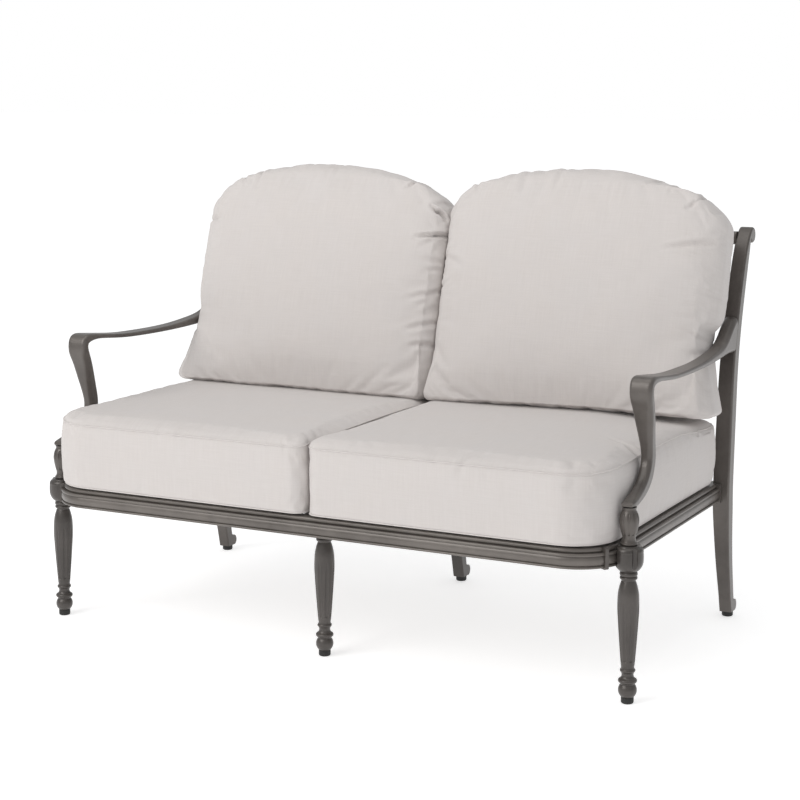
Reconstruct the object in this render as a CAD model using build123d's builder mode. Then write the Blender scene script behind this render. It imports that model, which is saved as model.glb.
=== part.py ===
from build123d import *
import os
from math import asin, cos, degrees, radians, sin

# Patio loveseat: a cast and extruded aluminium frame that carries two loose seat
# cushions and two loose back cushions. All sizes are in millimetres.
# X is the viewer's right, Y runs from the front to the back and Z is up.
# The origin is on the floor, under the middle of the whole piece of furniture.

# Overall layout. Depths are measured back from the line of the front legs.
seat_half_width = 634.0
front_leg_overhang = 11.0
rear_leg_overhang = 1.0
rail_reach = 87.0
post_seat_depth = 599.5
rear_foot_sweep = 44.5
crest_sweep = 142.5
crest_height = 818.0
rail_bottom = 262.0
rail_height = 38.0
running_gap = 0.3
overrun = 40.0

# Seat rail, a moulded section that bends round the two front corners
rail_depth = 32.0
corner_radius = 100.0
collar_length = 8.0
collar_wall = 2.5
collar_setback = 31.0
rail_lip_shares = ((-0.125, 0.0), (-0.03, 0.06), (-0.125, 0.12))
rail_face_shares = ((-0.125, 0.12), (-0.02, 0.37), (-0.10, 0.60))
rail_bead_shares = ((-0.10, 0.60), (0.0, 0.68), (-0.13, 0.76))
rail_cove_shares = ((-0.28, 0.76), (-0.22, 0.89), (-0.32, 1.0))

# Seat deck under the cushions
rear_rail_depth = 24.0
rear_rail_height = 32.0
stretcher_width = 30.0
stretcher_height = 30.0
slat_width = 45.0
slat_thickness = 6.0
slats_per_bay = 5

# Glides and their stems
glide_height = 12.0
glide_radius = 12.0
glide_fillet = 3.5
stem_radius = 4.0
stem_length = 14.0
stem_clearance = 0.3

# Turned front leg. Its outline is a chain of arcs, as shares of height and radius.
leg_top = 250.0
leg_radius = 20.4
leg_outline_shares = (
    (0.0, 0.54), (0.063, 0.86), (0.103, 0.667), (0.109, 0.69), (0.1155, 0.735),
    (0.132, 0.877), (0.149, 0.735), (0.176, 0.549), (0.202, 0.637), (0.214, 0.716),
    (0.227, 0.637), (0.242, 0.603), (0.256, 0.632), (0.475, 0.833), (0.681, 0.99),
    (0.748, 1.0), (0.815, 0.973), (0.882, 0.833), (0.929, 0.652), (0.932, 0.66),
    (0.937, 0.686), (0.951, 0.814), (0.964, 0.716), (0.979, 0.824), (1.0, 0.735),
)
flute_count = 8
flute_radius = 6.0
flute_depth = 1.7
flute_end_shares = ((0.30, 0.672), (0.681, 0.99), (0.882, 0.84))

# Leg block with its four petals
block_height = 50.0
block_radius = 27.5
block_outline_shares = (
    (0.0, 0.545), (0.18, 0.87), (0.44, 1.0), (0.59, 1.005), (0.74, 0.99),
    (0.88, 0.94), (0.95, 0.80), (0.975, 0.78), (1.0, 0.77),
)
petal_count = 4
petal_groove_radius = 6.0
petal_groove_depth = 4.5

# Small reeded baluster that carries the arm
baluster_height = 71.0
baluster_radius = 18.5
baluster_outline_shares = (
    (0.0, 0.78), (0.042, 0.865), (0.085, 0.74), (0.15, 0.675), (0.23, 0.69),
    (0.42, 0.88), (0.62, 1.0), (0.79, 0.925), (0.91, 0.72), (0.945, 0.70), (1.0, 0.76),
)
reed_count = 10
reed_radius = 2.6
reed_depth = 1.0
reed_path_shares = ((0.27, 0.72), (0.62, 1.0), (0.87, 0.79))

# Arm. Each station gives run, rise, width and thickness shares and a heading in degrees.
arm_rise = 223.0
arm_width = 46.0
arm_edge_share = 0.36
arm_inward = 9.0
arm_setback = 6.1
arm_station_shares = (
    (-0.019, 0.027, 0.48, 0.17, -15), (0.009, 0.031, 0.56, 0.33, 5),
    (0.053, 0.054, 0.54, 0.50, 18), (0.100, 0.103, 0.52, 0.61, 32),
    (0.141, 0.188, 0.50, 0.67, 55), (0.163, 0.314, 0.50, 0.67, 84),
    (0.155, 0.466, 0.57, 0.67, 103), (0.135, 0.632, 0.76, 0.63, 104),
    (0.113, 0.794, 0.91, 0.56, 101), (0.098, 0.906, 0.98, 0.48, 92),
    (0.103, 0.977, 1.0, 0.46, 45), (0.144, 1.006, 1.0, 0.30, -4),
    (0.219, 0.990, 0.93, 0.21, -6), (0.313, 0.962, 0.89, 0.20, -4),
    (0.423, 0.946, 0.83, 0.21, -2), (0.540, 0.939, 0.76, 0.23, 1),
    (0.664, 0.942, 0.72, 0.28, 4), (0.767, 0.957, 0.70, 0.38, 7),
    (0.858, 0.985, 0.67, 0.60, 12), (0.923, 1.031, 0.65, 1.04, 14),
    (0.967, 1.067, 0.65, 1.48, 12), (1.0, 1.090, 0.65, 1.65, 8),
)

# Rear post, one casting that is the rear leg below and the back upright above.
# Each station gives a height share, a sweep share and a thickness share.
post_thickness = 33.0
post_seat_width = 36.0
post_foot_width = 27.0
post_crest_width = 30.0
post_edge_radius = 4.0
crest_scroll_radius = 17.0
foot_scroll_radius = 13.0
foot_scroll_back = 7.0
foot_scroll_sink = 1.5
crest_scroll_start = 120.0
crest_scroll_end = 210.0
post_leg_shares = (
    (0.0, 0.91, 0.76), (0.168, 0.685, 0.82), (0.435, 0.326, 0.88),
    (0.662, 0.124, 0.94), (0.874, 0.011, 1.0),
)
post_back_shares = (
    (0.0, 0.0, 1.0), (0.156, 0.0456, 1.0), (0.315, 0.112, 1.0), (0.484, 0.193, 0.97),
    (0.682, 0.382, 0.94), (0.860, 0.628, 0.88),
)

# Back frame
crest_rail_height = 28.0
crest_rail_depth = 20.0
crest_rail_radius = 7.0
crest_rail_drop = 6.0
crest_rail_forward = 20.0
spindle_radius = 7.0
spindle_count = 9
spindle_bow = 37.0
spindle_inset = 10.0

# Seat cushions
cushion_gap = 3.0
seat_side_gap = 3.5
seat_rear_gap = 4.0
seat_seam_rise = 138.0
seat_crown = 20.0
seat_crown_shares = ((1.0, 0.0), (0.9, 0.36), (0.7, 0.75), (0.4, 1.0))
seat_corner_radius = 95.0
seat_small_radius = 22.0
seat_draw_in = 2.5

# Back cushions
back_post_gap = 1.0
back_lean = 15.5
back_slant_height = 517.0
back_foot_thickness = 160.0
back_foot_clearance = 0.6
back_waist_thickness = 170.0
back_top_thickness = 100.0
back_front_crown = 26.0
back_dome = 70.0
back_dome_trim = 2.0
back_top_radius = 80.0
back_wing = 13.0
back_wing_start = 262.0
back_wing_run = 60.0
back_side_draw = 4.0

# Places worked out from the sizes above
rear_foot_depth = post_seat_depth + rear_foot_sweep
crest_depth = post_seat_depth + crest_sweep
crest_reach = crest_depth + crest_scroll_radius
leg_line = (rail_reach - crest_reach) / 2
front_leg_x = seat_half_width + front_leg_overhang
rear_leg_x = seat_half_width + rear_leg_overhang
rail_top = rail_bottom + rail_height
rail_middle = rail_bottom + rail_height / 2
rail_face_y = leg_line - rail_reach
rail_back_y = rail_face_y + rail_depth
corner_x = seat_half_width - corner_radius
corner_y = rail_face_y + corner_radius
post_front_y = leg_line + post_seat_depth - post_thickness / 2
post_inner_x = rear_leg_x - post_seat_width / 2
block_top = leg_top + block_height
baluster_top = block_top + baluster_height
crest_rail_y = leg_line + crest_depth - crest_rail_forward
crest_rail_z = crest_height - crest_rail_drop


def keep(piece, name):
    """Label one finished piece and write its file."""
    piece.part.label = name
    export_step(piece.part, f"parts/{name}.step")


def twin_of(piece):
    """The same piece on the other side of the furniture."""
    with BuildPart() as twin:
        mirror(piece.part, about=Plane.YZ)
    return twin


def arc_chain(points):
    """Arcs end to end: every second point is the middle of an arc."""
    for start, middle, end in zip(points[0::2], points[1::2], points[2::2]):
        ThreePointArc(start, middle, end)


def turned_face(shares, base, height, radius):
    """Half section of a turned piece, from shares of its height and its radius."""
    points = [(out * radius, base + up * height) for up, out in shares]
    with BuildLine() as outline:
        arc_chain(points)
        Polyline(points[-1], (0, points[-1][1]), (0, points[0][1]), points[0])
    make_face(outline.edges())


def rail_face(mode=Mode.ADD):
    """Section of the moulded rail: x points out of the seat and y points up."""
    def place(share):
        return (share[0] * rail_depth, share[1] * rail_height)

    with BuildLine() as outline:
        for shares in (rail_lip_shares, rail_face_shares, rail_bead_shares, rail_cove_shares):
            ThreePointArc(*[place(share) for share in shares])
        Line(place(rail_bead_shares[-1]), place(rail_cove_shares[0]))
        Polyline(place(rail_cove_shares[-1]), (-rail_depth, rail_height), (-rail_depth, 0),
                 place(rail_lip_shares[0]))
    make_face(outline.edges(), mode=mode)


def collar_face():
    """Section of a collar that wraps the face and the underside of the rail."""
    reach = rail_depth + collar_wall
    with Locations(((collar_wall - rail_depth) / 2, (rail_height - collar_wall) / 2)):
        RectangleRounded(reach, rail_height + collar_wall, collar_wall)
    rail_face(mode=Mode.SUBTRACT)


os.makedirs("parts", exist_ok=True)

# Leg block: the casting that joins the rail, the leg and the arm support
with BuildPart() as block_right:
    with BuildSketch(Plane.XZ):
        turned_face(block_outline_shares, leg_top, block_height, block_radius)
    revolve(axis=Axis.Z)
    petal_ring = block_radius + petal_groove_radius - petal_groove_depth
    with BuildSketch(Plane.XY.offset(leg_top)):
        with PolarLocations(petal_ring, petal_count, start_angle=180 / petal_count):
            Circle(petal_groove_radius)
    extrude(amount=block_height, mode=Mode.SUBTRACT)
block_centre = Location((front_leg_x, leg_line, 0))
block_right.part.move(block_centre)
keep(block_right, "leg_block_right")
block_left = twin_of(block_right)
keep(block_left, "leg_block_left")

# Small baluster: a reeded turning between the block and the arm
with BuildPart() as reed_cutter:
    with BuildLine(Plane.XZ) as reed_path:
        reed_ring = reed_radius - reed_depth
        ThreePointArc(*[
            (out * baluster_radius + reed_ring, block_top + up * baluster_height)
            for up, out in reed_path_shares
        ])
    with BuildSketch(Plane(origin=reed_path.line @ 0, z_dir=reed_path.line % 0)):
        Circle(reed_radius)
    sweep()
with BuildPart() as baluster_right:
    with BuildSketch(Plane.XZ):
        turned_face(baluster_outline_shares, block_top, baluster_height, baluster_radius)
    revolve(axis=Axis.Z)
    with PolarLocations(0, reed_count):
        add(reed_cutter.part, mode=Mode.SUBTRACT)
baluster_right.part.move(block_centre)
keep(baluster_right, "arm_baluster_right")
keep(twin_of(baluster_right), "arm_baluster_left")

# Front legs: turned and fluted, with a socket for the stem of the glide
with BuildPart() as flute_cutter:
    leg_height = leg_top - glide_height
    flute_ring = flute_radius - flute_depth
    flute_points = [
        (out * leg_radius + flute_ring, glide_height + up * leg_height)
        for up, out in flute_end_shares
    ]
    with BuildLine(Plane.XZ) as flute_path:
        flute_straight = Line(flute_points[0], flute_points[1])
        TangentArc(flute_straight @ 1, (flute_points[2][0], 0, flute_points[2][1]),
                   tangent=flute_straight % 1)
    with BuildSketch(Plane(origin=flute_path.line @ 0, z_dir=flute_path.line % 0)):
        Circle(flute_radius)
    sweep()
    with Locations(flute_path.line @ 0, flute_path.line @ 1):
        Sphere(flute_radius)
with BuildPart() as turned_leg:
    with BuildSketch(Plane.XZ):
        turned_face(leg_outline_shares, glide_height, leg_height, leg_radius)
    revolve(axis=Axis.Z)
    with PolarLocations(0, flute_count):
        add(flute_cutter.part, mode=Mode.SUBTRACT)
    with BuildSketch(Plane.XY.offset(glide_height)):
        Circle(stem_radius + stem_clearance)
    extrude(amount=stem_length + stem_clearance, mode=Mode.SUBTRACT)
for side, leg_x in (("left", -front_leg_x), ("middle", 0), ("right", front_leg_x)):
    with BuildPart() as front_leg:
        with Locations((leg_x, leg_line, 0)):
            add(turned_leg.part)
        if side == "middle":
            with BuildSketch(Plane.XY.offset(leg_top)):
                with Locations((leg_x, leg_line)):
                    Circle(stretcher_width / 2)
            extrude(amount=rail_top - stretcher_height - leg_top)
    keep(front_leg, f"front_leg_{side}")


def post_points(side, scroll_angle):
    """Points up the front edge, side -1, or the rear edge, side 1, to the crest roll."""
    points = []
    for up, sweep_share, thick in post_leg_shares:
        depth = post_seat_depth + sweep_share * (rear_foot_depth - post_seat_depth)
        height = glide_height + up * (rail_middle - glide_height)
        points.append((leg_line + depth + side * thick * post_thickness / 2, height))
    for up, sweep_share, thick in post_back_shares:
        depth = post_seat_depth + sweep_share * (crest_depth - post_seat_depth)
        height = rail_middle + up * (crest_height - rail_middle)
        points.append((leg_line + depth + side * thick * post_thickness / 2, height))
    points.append((leg_line + crest_depth + crest_scroll_radius * cos(radians(scroll_angle)),
                   crest_height + crest_scroll_radius * sin(radians(scroll_angle))))
    return points


def post_sweep_share(height):
    """Sweep share of the post at a height over the seat, straight between stations."""
    up = (height - rail_middle) / (crest_height - rail_middle)
    stations = post_back_shares + ((1.0, 1.0, 0.0),)
    for low, high in zip(stations, stations[1:]):
        if up <= high[0]:
            return low[1] + (up - low[0]) / (high[0] - low[0]) * (high[1] - low[1])
    return stations[-1][1]


def post_side_face():
    """Side view of the rear post, with a roll at the foot and one at the crest."""
    front = post_points(-1, crest_scroll_start)
    rear = post_points(1, crest_scroll_end)
    foot_run = Vector(*front[1]) - Vector(*front[0])
    roll_run = Vector(sin(radians(crest_scroll_start)), -cos(radians(crest_scroll_start)))
    with BuildLine() as outline:
        Spline(*front, tangents=(foot_run, roll_run))
        Spline(*rear)
        Line(front[0], rear[0])
        Line(front[-1], rear[-1])
    make_face(outline.edges())
    with Locations((leg_line + crest_depth, crest_height)):
        Circle(crest_scroll_radius)
    foot_height = glide_height + foot_scroll_radius - foot_scroll_sink
    with Locations((leg_line + rear_foot_depth + foot_scroll_back, foot_height)):
        Circle(foot_scroll_radius)


def post_front_face():
    """Front view of the rear post: wide at the seat, slimmer at the foot and crest."""
    crest_top = crest_height + crest_scroll_radius
    widths = (
        (glide_height, post_foot_width), (glide_height + overrun, post_foot_width),
        (rail_bottom - rail_height / 2, post_seat_width), (rail_top + crest_rail_height, post_seat_width),
        (crest_top, post_crest_width),
    )
    right = [(width / 2, height) for height, width in widths]
    left = [(-width / 2, height) for height, width in reversed(widths)]
    with BuildLine() as outline:
        Polyline(*right, *left, close=True)
    make_face(outline.edges())


# Rear posts, and the short middle rear leg of the same shape under the rear rail
with BuildPart() as post_blank:
    with BuildSketch(Plane.YZ):
        post_side_face()
    extrude(amount=post_seat_width / 2, both=True)
    with BuildSketch(Plane.XZ):
        post_front_face()
    extrude(amount=-crest_reach - overrun, both=True, mode=Mode.INTERSECT)
    fillet(post_blank.edges().filter_by(lambda edge: edge.length > crest_scroll_radius * 5),
           post_edge_radius)
    with BuildSketch(Plane.XY.offset(glide_height)):
        with Locations((0, leg_line + rear_foot_depth)):
            Circle(stem_radius + stem_clearance)
    extrude(amount=stem_length + stem_clearance, mode=Mode.SUBTRACT)
with BuildPart() as rear_post_right:
    with Locations((rear_leg_x, 0, 0)):
        add(post_blank.part)
keep(rear_post_right, "rear_post_right")
rear_post_left = twin_of(rear_post_right)
keep(rear_post_left, "rear_post_left")
with BuildPart() as rear_leg_middle:
    add(post_blank.part)
    split(bisect_by=Plane.XY.offset(rail_top - rear_rail_height), keep=Keep.BOTTOM)
keep(rear_leg_middle, "rear_leg_middle")

# Front rail: straight between the two bends
with BuildPart() as front_rail:
    with BuildSketch(Plane(origin=(corner_x, rail_face_y, rail_bottom),
                           x_dir=(0, -1, 0), z_dir=(-1, 0, 0))):
        rail_face()
    extrude(amount=2 * corner_x)
keep(front_rail, "front_rail")

# Corner rails: the same section bent a quarter turn and saddled on the leg block
side_plane = Plane(origin=(seat_half_width, corner_y, rail_bottom),
                   x_dir=(1, 0, 0), z_dir=(0, -1, 0))
with BuildPart() as corner_rail_right:
    with BuildSketch(side_plane):
        rail_face()
    revolve(axis=Axis((corner_x, corner_y, 0), (0, 0, 1)), revolution_arc=-90)
    add(block_right.part, mode=Mode.SUBTRACT)
keep(corner_rail_right, "corner_rail_right")
keep(twin_of(corner_rail_right), "corner_rail_left")

# Side rails: straight from the bend to the front of the rear post
with BuildPart() as side_rail_right:
    with BuildSketch(side_plane):
        rail_face()
    extrude(amount=corner_y - post_front_y)
    add(block_right.part, mode=Mode.SUBTRACT)
    add(rear_post_right.part, mode=Mode.SUBTRACT)
keep(side_rail_right, "side_rail_right")
keep(twin_of(side_rail_right), "side_rail_left")


def collar_plane(x, y, turn):
    """Section plane across the rail, turned from the side rail round the bend."""
    outward = (cos(radians(turn)), sin(radians(turn)), 0)
    return Plane(origin=(x, y, rail_bottom), x_dir=outward, z_dir=(outward[1], -outward[0], 0))


# Cast collars round the rail: before and behind the leg block, and at the rear post
bend_offset = corner_y - leg_line + collar_setback
bend_turn = -degrees(asin(bend_offset / (corner_radius - rail_depth / 2)))
collar_places = (
    ("front", collar_plane(corner_x + corner_radius * cos(radians(bend_turn)),
                           corner_y + corner_radius * sin(radians(bend_turn)), bend_turn)),
    ("side", collar_plane(seat_half_width, leg_line + collar_setback + collar_length, 0)),
    ("rear", collar_plane(seat_half_width, post_front_y, 0)),
)
for place, plane in collar_places:
    with BuildPart() as collar:
        with BuildSketch(plane):
            collar_face()
        extrude(amount=collar_length)
        for neighbour in (block_right, corner_rail_right, rear_post_right):
            add(neighbour.part, mode=Mode.SUBTRACT)
    keep(collar, f"{place}_collar_right")
    keep(twin_of(collar), f"{place}_collar_left")

# Rear seat rail, a plain bar between the posts
with BuildPart() as rear_seat_rail:
    with BuildSketch(Plane.XY.offset(rail_top)):
        with Locations((0, post_front_y + rear_rail_depth / 2)):
            Rectangle(2 * post_inner_x, rear_rail_depth)
    extrude(amount=-rear_rail_height)
keep(rear_seat_rail, "rear_seat_rail")

# Centre stretcher, from the front rail to the rear rail over the middle legs
deck_length = post_front_y - rail_back_y
with BuildPart() as centre_stretcher:
    with BuildSketch(Plane.XY.offset(rail_top)):
        with Locations((0, rail_back_y + deck_length / 2)):
            Rectangle(stretcher_width, deck_length)
    extrude(amount=-stretcher_height)
keep(centre_stretcher, "centre_stretcher")

# Seat slats, welded between the stretcher and the side rails
slat_inner_x = stretcher_width / 2
slat_outer_x = seat_half_width - rail_depth
slat_pitch = deck_length / (slats_per_bay + 1)
for side, sign in (("left", -1), ("right", 1)):
    for number in range(1, slats_per_bay + 1):
        with BuildPart() as slat:
            with BuildSketch(Plane.XY.offset(rail_top)):
                with Locations((sign * (slat_inner_x + slat_outer_x) / 2,
                                rail_back_y + number * slat_pitch)):
                    Rectangle(slat_outer_x - slat_inner_x, slat_width)
            extrude(amount=-slat_thickness)
        keep(slat, f"seat_slat_{side}_{number}")

# Arm: one casting that rises from the baluster, turns over and flares into the post
arm_end_height = baluster_top + arm_station_shares[-1][1] * arm_rise
arm_run = post_seat_depth + post_sweep_share(arm_end_height) * crest_sweep - arm_setback
with BuildPart() as arm_right:
    for run, rise, width, thickness, heading in arm_station_shares:
        centre = (front_leg_x - arm_inward * max(run, 0), leg_line + run * arm_run,
                  baluster_top + rise * arm_rise)
        along = (0, cos(radians(heading)), sin(radians(heading)))
        with BuildSketch(Plane(origin=centre, x_dir=(1, 0, 0), z_dir=along)):
            RectangleRounded(width * arm_width, thickness * arm_width,
                             arm_edge_share * min(width, thickness) * arm_width)
    loft()
    add(baluster_right.part, mode=Mode.SUBTRACT)
    add(rear_post_right.part, mode=Mode.SUBTRACT)
keep(arm_right, "arm_right")
keep(twin_of(arm_right), "arm_left")

# Crest rail between the tops of the posts
with BuildPart() as crest_rail:
    with BuildSketch(Plane.YZ):
        with Locations((crest_rail_y, crest_rail_z)):
            RectangleRounded(crest_rail_depth, crest_rail_height, crest_rail_radius)
    extrude(amount=rear_leg_x - post_crest_width / 2, both=True)
    add(rear_post_right.part, mode=Mode.SUBTRACT)
    add(rear_post_left.part, mode=Mode.SUBTRACT)
keep(crest_rail, "crest_rail")

# Back spindles, bowed bars that the back cushions lean on
spindle_foot_y = leg_line + post_seat_depth
spindle_foot_z = rail_top - spindle_inset
spindle_head_z = crest_rail_z - crest_rail_height / 2 + spindle_inset
spindle_middle_y = (spindle_foot_y + crest_rail_y) / 2 - spindle_bow
spindle_middle_z = (spindle_foot_z + spindle_head_z) / 2
spindle_arc = ThreePointArc((0, spindle_foot_y, spindle_foot_z),
                            (0, spindle_middle_y, spindle_middle_z),
                            (0, crest_rail_y, spindle_head_z))
spindle_pitch = 2 * post_inner_x / (spindle_count + 1)
for number in range(1, spindle_count + 1):
    with BuildPart() as spindle:
        with BuildLine(Plane.YZ.offset(number * spindle_pitch - post_inner_x)) as bow:
            ThreePointArc((spindle_foot_y, spindle_foot_z), (spindle_middle_y, spindle_middle_z),
                          (crest_rail_y, spindle_head_z))
        with BuildSketch(Plane(origin=bow.line @ 0, z_dir=bow.line % 0)):
            Circle(spindle_radius)
        sweep()
        add(rear_seat_rail.part, mode=Mode.SUBTRACT)
        add(crest_rail.part, mode=Mode.SUBTRACT)
    keep(spindle, f"back_spindle_{number}")

# Glides: a rubber foot with a stem that sits in the socket of its leg
rear_foot_y = leg_line + rear_foot_depth
glide_places = (
    ("front_left", -front_leg_x, leg_line), ("front_middle", 0, leg_line),
    ("front_right", front_leg_x, leg_line), ("rear_left", -rear_leg_x, rear_foot_y),
    ("rear_middle", 0, rear_foot_y), ("rear_right", rear_leg_x, rear_foot_y),
)
for place, glide_x, glide_y in glide_places:
    with BuildPart() as glide:
        with BuildSketch():
            with Locations((glide_x, glide_y)):
                Circle(glide_radius)
        extrude(amount=glide_height)
        fillet(glide.edges().sort_by(Axis.Z)[0], glide_fillet)
        with BuildSketch(Plane.XY.offset(glide_height)):
            with Locations((glide_x, glide_y)):
                Circle(stem_radius)
        extrude(amount=stem_length)
    keep(glide, f"glide_{place}")


# Seat cushion: boxed, with drawn-in sides, a wide outer front corner and a crowned top
seat_base = rail_top + running_gap
seat_seam = seat_base + seat_seam_rise
cushion_inner_x = cushion_gap / 2
seat_outer_x = front_leg_x - baluster_radius - seat_side_gap
seat_rear_y = post_front_y - seat_rear_gap
seat_middle_x = (cushion_inner_x + seat_outer_x) / 2
seat_middle_y = (rail_face_y + seat_rear_y) / 2


def seat_outline(share):
    """Plan of the seat cushion about its middle, shrunk by a share."""
    half_x = share * (seat_outer_x - cushion_inner_x) / 2
    half_y = share * (seat_rear_y - rail_face_y) / 2
    wide = share * seat_corner_radius
    small = share * seat_small_radius
    draw_in = share * seat_draw_in
    with BuildLine() as outline:
        front = Line((small - half_x, -half_y), (half_x - wide, -half_y))
        outer_front = RadiusArc(front @ 1, (half_x, wide - half_y), -wide)
        outer = ThreePointArc(outer_front @ 1, (half_x - draw_in, 0), (half_x, half_y - small))
        outer_rear = RadiusArc(outer @ 1, (half_x - small, half_y), -small)
        rear = ThreePointArc(outer_rear @ 1, (0, half_y - draw_in), (small - half_x, half_y))
        inner_rear = RadiusArc(rear @ 1, (-half_x, half_y - small), -small)
        inner = ThreePointArc(inner_rear @ 1, (draw_in - half_x, 0), (-half_x, small - half_y))
        RadiusArc(inner @ 1, front @ 0, -small)
    make_face(outline.edges())


with BuildPart() as seat_cushion_right:
    with BuildSketch(Plane(origin=(seat_middle_x, seat_middle_y, seat_base))):
        seat_outline(1)
    extrude(amount=seat_seam_rise)
    for share, rise in seat_crown_shares:
        with BuildSketch(Plane(origin=(seat_middle_x, seat_middle_y, seat_seam + rise * seat_crown))):
            seat_outline(share)
    loft()
keep(seat_cushion_right, "seat_cushion_right")
keep(twin_of(seat_cushion_right), "seat_cushion_left")

# Back cushion: a thick pillow with a domed top. Its back leans on the bow of the spindles
# and its foot stands on the crown of the seat cushion. It is drawn in a frame that leans
# with it: x across, v up the lean, t out of the back.
lean_up = Vector(0, sin(radians(back_lean)), cos(radians(back_lean)))
lean_out = Vector(0, -lean_up.Z, lean_up.Y)
rest_point = spindle_arc.arc_center + lean_out * (spindle_arc.radius + spindle_radius + running_gap)
back_root = rest_point - lean_up * ((rest_point.Z - seat_seam) / lean_up.Z)
crown_places = [
    (share * (seat_rear_y - seat_middle_y), seat_seam + rise * seat_crown)
    for share, rise in seat_crown_shares[2:]
]
(foot_rear_y, foot_rear_z), (foot_front_y, foot_front_z) = crown_places
foot_up = Vector(0, foot_front_z - foot_rear_z, foot_rear_y - foot_front_y)
foot_point = Vector(0, seat_middle_y + foot_rear_y, foot_rear_z + back_foot_clearance)
back_outer_x = post_inner_x - back_post_gap
wing_x = back_outer_x + back_wing
shoulder_v = back_slant_height - back_dome
with BuildPart() as back_cushion_right:
    with BuildSketch(Plane(origin=back_root, x_dir=(1, 0, 0), z_dir=lean_out)) as front_view:
        with BuildLine():
            foot = Line((back_outer_x, -overrun * 2), (cushion_inner_x, -overrun * 2))
            inner_edge = ThreePointArc(foot @ 1, (cushion_inner_x + back_side_draw, shoulder_v / 2),
                                       (cushion_inner_x, shoulder_v))
            dome_v = back_slant_height - back_dome_trim
            dome = ThreePointArc(inner_edge @ 1, ((cushion_inner_x + wing_x) / 2, dome_v),
                                 (wing_x, shoulder_v))
            Polyline(dome @ 1, (wing_x, back_wing_start + back_wing_run),
                     (back_outer_x, back_wing_start), foot @ 0)
        make_face()
        fillet(front_view.vertices().sort_by(Axis.Y)[-2:], back_top_radius)
    extrude(amount=back_waist_thickness * 2, both=True)
    with BuildSketch(Plane(origin=back_root, x_dir=lean_out, z_dir=(-1, 0, 0))):
        with BuildLine():
            top_t = back_top_thickness / 2
            rear_line = Polyline((back_foot_thickness, -overrun * 2), (0, -overrun * 2),
                                 (0, back_slant_height - top_t))
            rear_roll = ThreePointArc(
                rear_line @ 1, (top_t * (1 - cos(radians(45))),
                                back_slant_height - top_t * (1 - sin(radians(45)))),
                (top_t, back_slant_height))
            front_roll = ThreePointArc(
                rear_roll @ 1, (top_t * (1 + cos(radians(45))),
                                back_slant_height - top_t * (1 - sin(radians(45)))),
                (back_top_thickness, back_slant_height - top_t))
            ThreePointArc(front_roll @ 1, (back_waist_thickness, back_slant_height * 2 / 5),
                          rear_line @ 0)
        make_face()
    extrude(amount=seat_half_width * 2, both=True, mode=Mode.INTERSECT)
    with BuildSketch(Plane(origin=back_root, x_dir=(1, 0, 0), z_dir=lean_up)):
        with BuildLine():
            rear = Polyline((wing_x, back_front_crown - back_waist_thickness), (wing_x, overrun),
                            (0, overrun), (0, back_front_crown - back_waist_thickness))
            ThreePointArc(rear @ 1, (wing_x / 2, -back_waist_thickness - back_front_crown / 2),
                          rear @ 0)
        make_face()
    extrude(amount=back_slant_height * 2, both=True, mode=Mode.INTERSECT)
    split(bisect_by=Plane(origin=foot_point, z_dir=foot_up),
          keep=Keep.TOP)
keep(back_cushion_right, "back_cushion_right")
keep(twin_of(back_cushion_right), "back_cushion_left")
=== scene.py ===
from math import cos, pi, radians, sin

import bpy
import numpy as np
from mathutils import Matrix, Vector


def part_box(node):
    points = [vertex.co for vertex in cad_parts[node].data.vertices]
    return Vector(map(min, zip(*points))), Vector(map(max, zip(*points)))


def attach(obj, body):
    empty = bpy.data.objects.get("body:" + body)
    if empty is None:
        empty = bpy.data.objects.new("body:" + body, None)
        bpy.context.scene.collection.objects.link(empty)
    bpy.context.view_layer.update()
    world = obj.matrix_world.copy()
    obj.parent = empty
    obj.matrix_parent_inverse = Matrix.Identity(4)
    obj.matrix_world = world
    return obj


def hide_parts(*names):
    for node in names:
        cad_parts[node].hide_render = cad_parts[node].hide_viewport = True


# Patio loveseat: a cast and extruded aluminium frame under a pewter powder coat, with two
# boxed seat cushions and two pillow back cushions. Metres, X to the viewer's right, Z up.
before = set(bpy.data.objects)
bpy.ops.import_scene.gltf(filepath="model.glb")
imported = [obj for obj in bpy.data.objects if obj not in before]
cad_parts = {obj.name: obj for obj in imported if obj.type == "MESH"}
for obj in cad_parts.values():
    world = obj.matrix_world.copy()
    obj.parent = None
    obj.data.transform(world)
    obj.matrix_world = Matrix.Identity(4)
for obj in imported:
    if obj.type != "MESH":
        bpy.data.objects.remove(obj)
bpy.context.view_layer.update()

# Viewpoint
# The photograph was taken from in front, to the right and a little above the arms, with a
# long lens whose picture is shifted so that the uprights stay nearly parallel.
view_data = bpy.data.cameras.new("photo_view")
view_data.lens = 86.49
view_data.sensor_width = 36.0
view_data.shift_y = -0.19
view_data.clip_end = 200.0
viewpoint = bpy.data.objects.new("photo_view", view_data)
viewpoint.location = (1.8542, -3.6313, 1.1704)
viewpoint.rotation_euler = (radians(90 - 5.25), 0.0, radians(27.07))
bpy.context.collection.objects.link(viewpoint)
bpy.context.scene.camera = viewpoint


# Studio
# A plain pale floor that runs into a white surround, brighter far off, one broad soft light
# high before the left arm and a weaker one over the seat. None of it is part of the furniture.
def add_node(tree, kind, links=None, values=None, **settings):
    """Put one node in a tree, set its fields and plain values, and join its inputs."""
    node = tree.nodes.new(kind)
    for field, value in settings.items():
        setattr(node, field, value)
    for socket, value in (values or {}).items():
        node.inputs[socket].default_value = value
    for socket, source in (links or {}).items():
        tree.links.new(source, node.inputs[socket])
    return node


def new_material(name):
    """A material with nodes; returns it, its tree and its shader."""
    material = bpy.data.materials.new(name)
    material.use_nodes = True
    return material, material.node_tree, material.node_tree.nodes["Principled BSDF"]


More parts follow.
